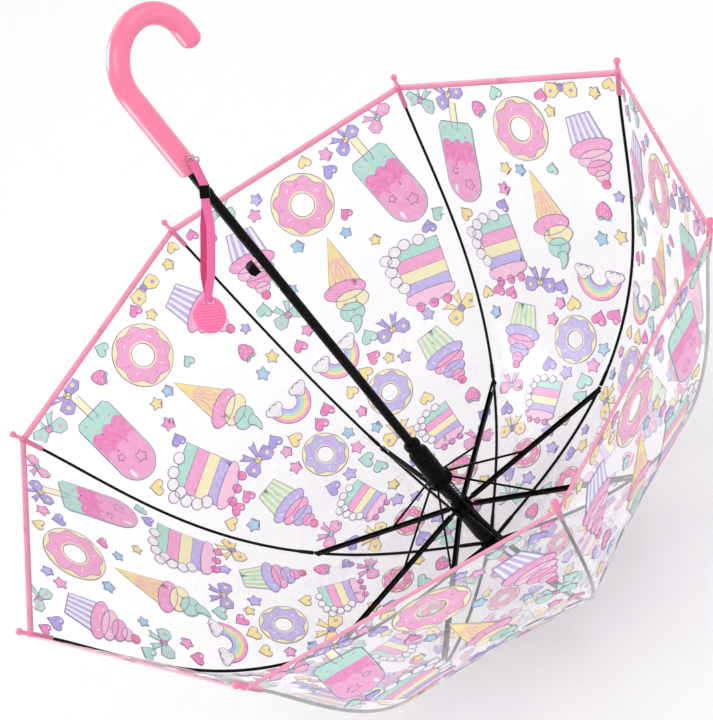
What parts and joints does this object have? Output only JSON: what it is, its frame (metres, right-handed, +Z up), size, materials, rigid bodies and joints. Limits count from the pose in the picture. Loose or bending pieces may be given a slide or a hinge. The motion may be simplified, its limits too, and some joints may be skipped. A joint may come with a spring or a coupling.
{
  "type": "children's umbrella",
  "caption": "Child's clear dome umbrella, open, with a crook handle, a folding wire frame, a sliding runner, a thumb latch and a wrist strap.",
  "frame": {"origin": "on the shaft's axis, at the flat tip of the ferrule, which is the lowest point", "axes": "+Z up the shaft from the ferrule to the crook handle, so the canopy opens upward; the crook bends towards +X; a rib stands at every 45 degrees from 22.5 degrees"},
  "size_m": [0.6606, 0.6606, 0.6734],
  "materials": {
    "pink_plastic": "glossy",
    "black_plastic": "satin",
    "black_painted_steel": "satin",
    "spring_steel": "polished",
    "clear_film": "glossy",
    "pink_edging": "satin",
    "print_ink": "satin",
    "pink_webbing": "matte"
  },
  "bodies": {
    "root": {"shaft": "black_painted_steel", "handle": "pink_plastic", "ferrule": "pink_plastic", "crown": "black_plastic", "crown_sleeve": "black_plastic", "shaft_collar": "black_plastic", "canopy": "clear_film", "strap_eyelet": "spring_steel"},
    "runner": {"runner": "black_plastic"},
    "stretcher_hub": {"stretcher_hub": "black_plastic", "spring": "black_painted_steel"},
    "latch": {"latch_spring": "spring_steel", "latch_button": "black_plastic"},
    "top_catch": {"top_catch": "spring_steel"},
    "wrist_strap": {"strap_ring": "spring_steel", "strap": "pink_webbing", "strap_keeper": "black_plastic", "strap_disc": "pink_plastic"},
    "rib_inner_1": {"rib_inner_1": "black_painted_steel"},
    "rib_outer_1": {"rib_outer_1": "black_painted_steel", "rib_tip_1": "pink_plastic"},
    "stretcher_1": {"stretcher_1": "black_painted_steel"},
    "link_1": {"link_1": "black_painted_steel"},
    "rib_inner_2": {"rib_inner_2": "black_painted_steel"},
    "rib_outer_2": {"rib_outer_2": "black_painted_steel", "rib_tip_2": "pink_plastic"},
    "stretcher_2": {"stretcher_2": "black_painted_steel"},
    "link_2": {"link_2": "black_painted_steel"},
    "rib_inner_3": {"rib_inner_3": "black_painted_steel"},
    "rib_outer_3": {"rib_outer_3": "black_painted_steel", "rib_tip_3": "pink_plastic"},
    "stretcher_3": {"stretcher_3": "black_painted_steel"},
    "link_3": {"link_3": "black_painted_steel"},
    "rib_inner_4": {"rib_inner_4": "black_painted_steel"},
    "rib_outer_4": {"rib_outer_4": "black_painted_steel", "rib_tip_4": "pink_plastic"},
    "stretcher_4": {"stretcher_4": "black_painted_steel"},
    "link_4": {"link_4": "black_painted_steel"},
    "rib_inner_5": {"rib_inner_5": "black_painted_steel"},
    "rib_outer_5": {"rib_outer_5": "black_painted_steel", "rib_tip_5": "pink_plastic"},
    "stretcher_5": {"stretcher_5": "black_painted_steel"},
    "link_5": {"link_5": "black_painted_steel"},
    "rib_inner_6": {"rib_inner_6": "black_painted_steel"},
    "rib_outer_6": {"rib_outer_6": "black_painted_steel", "rib_tip_6": "pink_plastic"},
    "stretcher_6": {"stretcher_6": "black_painted_steel"},
    "link_6": {"link_6": "black_painted_steel"},
    "rib_inner_7": {"rib_inner_7": "black_painted_steel"},
    "rib_outer_7": {"rib_outer_7": "black_painted_steel", "rib_tip_7": "pink_plastic"},
    "stretcher_7": {"stretcher_7": "black_painted_steel"},
    "link_7": {"link_7": "black_painted_steel"},
    "rib_inner_8": {"rib_inner_8": "black_painted_steel"},
    "rib_outer_8": {"rib_outer_8": "black_painted_steel", "rib_tip_8": "pink_plastic"},
    "stretcher_8": {"stretcher_8": "black_painted_steel"},
    "link_8": {"link_8": "black_painted_steel"}
  },
  "joints": [
    {"name": "runner_slide", "type": "slide", "parent": "root", "child": "runner", "axis": [0, 0, 1], "range_m": [0, 0.234], "deforming": ["canopy"]},
    {"name": "stretcher_hub_slide", "type": "slide", "parent": "root", "child": "stretcher_hub", "axis": [0, 0, 1], "range_m": [0, 0.26188], "deforming": ["spring"]},
    {"name": "rib_fold_1", "type": "hinge", "parent": "root", "child": "rib_inner_1", "pos_m": [0.00647, 0.00268, 0.05], "axis": [0.3827, -0.9239, 0], "range_deg": [0, 62.61]},
    {"name": "rib_flex_1", "type": "hinge", "parent": "rib_inner_1", "child": "rib_outer_1", "pos_m": [0.15546, 0.06439, 0.08857], "axis": [0.3827, -0.9239, 0], "range_deg": [-26.56, 0]},
    {"name": "stretcher_turn_1", "type": "hinge", "parent": "stretcher_hub", "child": "stretcher_1", "pos_m": [0.00785, 0.00325, 0.105], "axis": [0.3827, -0.9239, 0], "range_deg": [-70.28, 0]},
    {"name": "link_turn_1", "type": "hinge", "parent": "runner", "child": "link_1", "pos_m": [0.01016, 0.00421, 0.146], "axis": [0.3827, -0.9239, 0], "range_deg": [-45.04, 0]},
    {"name": "rib_fold_2", "type": "hinge", "parent": "root", "child": "rib_inner_2", "pos_m": [0.00268, 0.00647, 0.05], "axis": [0.9239, -0.3827, 0], "range_deg": [0, 62.61]},
    {"name": "rib_flex_2", "type": "hinge", "parent": "rib_inner_2", "child": "rib_outer_2", "pos_m": [0.06439, 0.15546, 0.08857], "axis": [0.9239, -0.3827, 0], "range_deg": [-26.56, 0]},
    {"name": "stretcher_turn_2", "type": "hinge", "parent": "stretcher_hub", "child": "stretcher_2", "pos_m": [0.00325, 0.00785, 0.105], "axis": [0.9239, -0.3827, 0], "range_deg": [-70.28, 0]},
    {"name": "link_turn_2", "type": "hinge", "parent": "runner", "child": "link_2", "pos_m": [0.00421, 0.01016, 0.146], "axis": [0.9239, -0.3827, 0], "range_deg": [-45.04, 0]},
    {"name": "rib_fold_3", "type": "hinge", "parent": "root", "child": "rib_inner_3", "pos_m": [-0.00268, 0.00647, 0.05], "axis": [0.9239, 0.3827, 0], "range_deg": [0, 62.61]},
    {"name": "rib_flex_3", "type": "hinge", "parent": "rib_inner_3", "child": "rib_outer_3", "pos_m": [-0.06439, 0.15546, 0.08857], "axis": [0.9239, 0.3827, 0], "range_deg": [-26.56, 0]},
    {"name": "stretcher_turn_3", "type": "hinge", "parent": "stretcher_hub", "child": "stretcher_3", "pos_m": [-0.00325, 0.00785, 0.105], "axis": [0.9239, 0.3827, 0], "range_deg": [-70.28, 0]},
    {"name": "link_turn_3", "type": "hinge", "parent": "runner", "child": "link_3", "pos_m": [-0.00421, 0.01016, 0.146], "axis": [0.9239, 0.3827, 0], "range_deg": [-45.04, 0]},
    {"name": "rib_fold_4", "type": "hinge", "parent": "root", "child": "rib_inner_4", "pos_m": [-0.00647, 0.00268, 0.05], "axis": [0.3827, 0.9239, 0], "range_deg": [0, 62.61]},
    {"name": "rib_flex_4", "type": "hinge", "parent": "rib_inner_4", "child": "rib_outer_4", "pos_m": [-0.15546, 0.06439, 0.08857], "axis": [0.3827, 0.9239, 0], "range_deg": [-26.56, 0]},
    {"name": "stretcher_turn_4", "type": "hinge", "parent": "stretcher_hub", "child": "stretcher_4", "pos_m": [-0.00785, 0.00325, 0.105], "axis": [0.3827, 0.9239, 0], "range_deg": [-70.28, 0]},
    {"name": "link_turn_4", "type": "hinge", "parent": "runner", "child": "link_4", "pos_m": [-0.01016, 0.00421, 0.146], "axis": [0.3827, 0.9239, 0], "range_deg": [-45.04, 0]},
    {"name": "rib_fold_5", "type": "hinge", "parent": "root", "child": "rib_inner_5", "pos_m": [-0.00647, -0.00268, 0.05], "axis": [-0.3827, 0.9239, 0], "range_deg": [0, 62.61]},
    {"name": "rib_flex_5", "type": "hinge", "parent": "rib_inner_5", "child": "rib_outer_5", "pos_m": [-0.15546, -0.06439, 0.08857], "axis": [-0.3827, 0.9239, 0], "range_deg": [-26.56, 0]},
    {"name": "stretcher_turn_5", "type": "hinge", "parent": "stretcher_hub", "child": "stretcher_5", "pos_m": [-0.00785, -0.00325, 0.105], "axis": [-0.3827, 0.9239, 0], "range_deg": [-70.28, 0]},
    {"name": "link_turn_5", "type": "hinge", "parent": "runner", "child": "link_5", "pos_m": [-0.01016, -0.00421, 0.146], "axis": [-0.3827, 0.9239, 0], "range_deg": [-45.04, 0]},
    {"name": "rib_fold_6", "type": "hinge", "parent": "root", "child": "rib_inner_6", "pos_m": [-0.00268, -0.00647, 0.05], "axis": [-0.9239, 0.3827, 0], "range_deg": [0, 62.61]},
    {"name": "rib_flex_6", "type": "hinge", "parent": "rib_inner_6", "child": "rib_outer_6", "pos_m": [-0.06439, -0.15546, 0.08857], "axis": [-0.9239, 0.3827, 0], "range_deg": [-26.56, 0]},
    {"name": "stretcher_turn_6", "type": "hinge", "parent": "stretcher_hub", "child": "stretcher_6", "pos_m": [-0.00325, -0.00785, 0.105], "axis": [-0.9239, 0.3827, 0], "range_deg": [-70.28, 0]},
    {"name": "link_turn_6", "type": "hinge", "parent": "runner", "child": "link_6", "pos_m": [-0.00421, -0.01016, 0.146], "axis": [-0.9239, 0.3827, 0], "range_deg": [-45.04, 0]},
    {"name": "rib_fold_7", "type": "hinge", "parent": "root", "child": "rib_inner_7", "pos_m": [0.00268, -0.00647, 0.05], "axis": [-0.9239, -0.3827, 0], "range_deg": [0, 62.61]},
    {"name": "rib_flex_7", "type": "hinge", "parent": "rib_inner_7", "child": "rib_outer_7", "pos_m": [0.06439, -0.15546, 0.08857], "axis": [-0.9239, -0.3827, 0], "range_deg": [-26.56, 0]},
    {"name": "stretcher_turn_7", "type": "hinge", "parent": "stretcher_hub", "child": "stretcher_7", "pos_m": [0.00325, -0.00785, 0.105], "axis": [-0.9239, -0.3827, 0], "range_deg": [-70.28, 0]},
    {"name": "link_turn_7", "type": "hinge", "parent": "runner", "child": "link_7", "pos_m": [0.00421, -0.01016, 0.146], "axis": [-0.9239, -0.3827, 0], "range_deg": [-45.04, 0]},
    {"name": "rib_fold_8", "type": "hinge", "parent": "root", "child": "rib_inner_8", "pos_m": [0.00647, -0.00268, 0.05], "axis": [-0.3827, -0.9239, 0], "range_deg": [0, 62.61]},
    {"name": "rib_flex_8", "type": "hinge", "parent": "rib_inner_8", "child": "rib_outer_8", "pos_m": [0.15546, -0.06439, 0.08857], "axis": [-0.3827, -0.9239, 0], "range_deg": [-26.56, 0]},
    {"name": "stretcher_turn_8", "type": "hinge", "parent": "stretcher_hub", "child": "stretcher_8", "pos_m": [0.00785, -0.00325, 0.105], "axis": [-0.3827, -0.9239, 0], "range_deg": [-70.28, 0]},
    {"name": "link_turn_8", "type": "hinge", "parent": "runner", "child": "link_8", "pos_m": [0.01016, -0.00421, 0.146], "axis": [-0.3827, -0.9239, 0], "range_deg": [-45.04, 0]},
    {"name": "latch_press", "type": "slide", "parent": "root", "child": "latch", "axis": [0.866, -0.5, 0], "range_m": [0, 0.002], "stiffness_N_per_m": 800, "springref_m": -0.002},
    {"name": "top_catch_press", "type": "slide", "parent": "root", "child": "top_catch", "axis": [0.5, 0.866, 0], "range_m": [0, 0.001], "stiffness_N_per_m": 800, "springref_m": -0.002},
    {"name": "strap_swing", "type": "hinge", "parent": "root", "child": "wrist_strap", "pos_m": [0.00126, -0.01444, 0.559], "axis": [-0.5433, 0.6999, 0.4636], "range_deg": [0, 60]}
  ],
  "couplings": [
    {"joint": "stretcher_hub_slide", "follows": "runner_slide", "ratio": 1.1191},
    {"joint": "rib_fold_1", "follows": "runner_slide", "rad_per_m": 4.6698},
    {"joint": "rib_flex_1", "follows": "runner_slide", "rad_per_m": -1.9804},
    {"joint": "stretcher_turn_1", "follows": "runner_slide", "rad_per_m": -5.2416},
    {"joint": "link_turn_1", "follows": "runner_slide", "rad_per_m": -3.3588},
    {"joint": "rib_fold_2", "follows": "runner_slide", "rad_per_m": 4.6698},
    {"joint": "rib_flex_2", "follows": "runner_slide", "rad_per_m": -1.9804},
    {"joint": "stretcher_turn_2", "follows": "runner_slide", "rad_per_m": -5.2416},
    {"joint": "link_turn_2", "follows": "runner_slide", "rad_per_m": -3.3588},
    {"joint": "rib_fold_3", "follows": "runner_slide", "rad_per_m": 4.6698},
    {"joint": "rib_flex_3", "follows": "runner_slide", "rad_per_m": -1.9804},
    {"joint": "stretcher_turn_3", "follows": "runner_slide", "rad_per_m": -5.2416},
    {"joint": "link_turn_3", "follows": "runner_slide", "rad_per_m": -3.3588},
    {"joint": "rib_fold_4", "follows": "runner_slide", "rad_per_m": 4.6698},
    {"joint": "rib_flex_4", "follows": "runner_slide", "rad_per_m": -1.9804},
    {"joint": "stretcher_turn_4", "follows": "runner_slide", "rad_per_m": -5.2416},
    {"joint": "link_turn_4", "follows": "runner_slide", "rad_per_m": -3.3588},
    {"joint": "rib_fold_5", "follows": "runner_slide", "rad_per_m": 4.6698},
    {"joint": "rib_flex_5", "follows": "runner_slide", "rad_per_m": -1.9804},
    {"joint": "stretcher_turn_5", "follows": "runner_slide", "rad_per_m": -5.2416},
    {"joint": "link_turn_5", "follows": "runner_slide", "rad_per_m": -3.3588},
    {"joint": "rib_fold_6", "follows": "runner_slide", "rad_per_m": 4.6698},
    {"joint": "rib_flex_6", "follows": "runner_slide", "rad_per_m": -1.9804},
    {"joint": "stretcher_turn_6", "follows": "runner_slide", "rad_per_m": -5.2416},
    {"joint": "link_turn_6", "follows": "runner_slide", "rad_per_m": -3.3588},
    {"joint": "rib_fold_7", "follows": "runner_slide", "rad_per_m": 4.6698},
    {"joint": "rib_flex_7", "follows": "runner_slide", "rad_per_m": -1.9804},
    {"joint": "stretcher_turn_7", "follows": "runner_slide", "rad_per_m": -5.2416},
    {"joint": "link_turn_7", "follows": "runner_slide", "rad_per_m": -3.3588},
    {"joint": "rib_fold_8", "follows": "runner_slide", "rad_per_m": 4.6698},
    {"joint": "rib_flex_8", "follows": "runner_slide", "rad_per_m": -1.9804},
    {"joint": "stretcher_turn_8", "follows": "runner_slide", "rad_per_m": -5.2416},
    {"joint": "link_turn_8", "follows": "runner_slide", "rad_per_m": -3.3588}
  ]
}
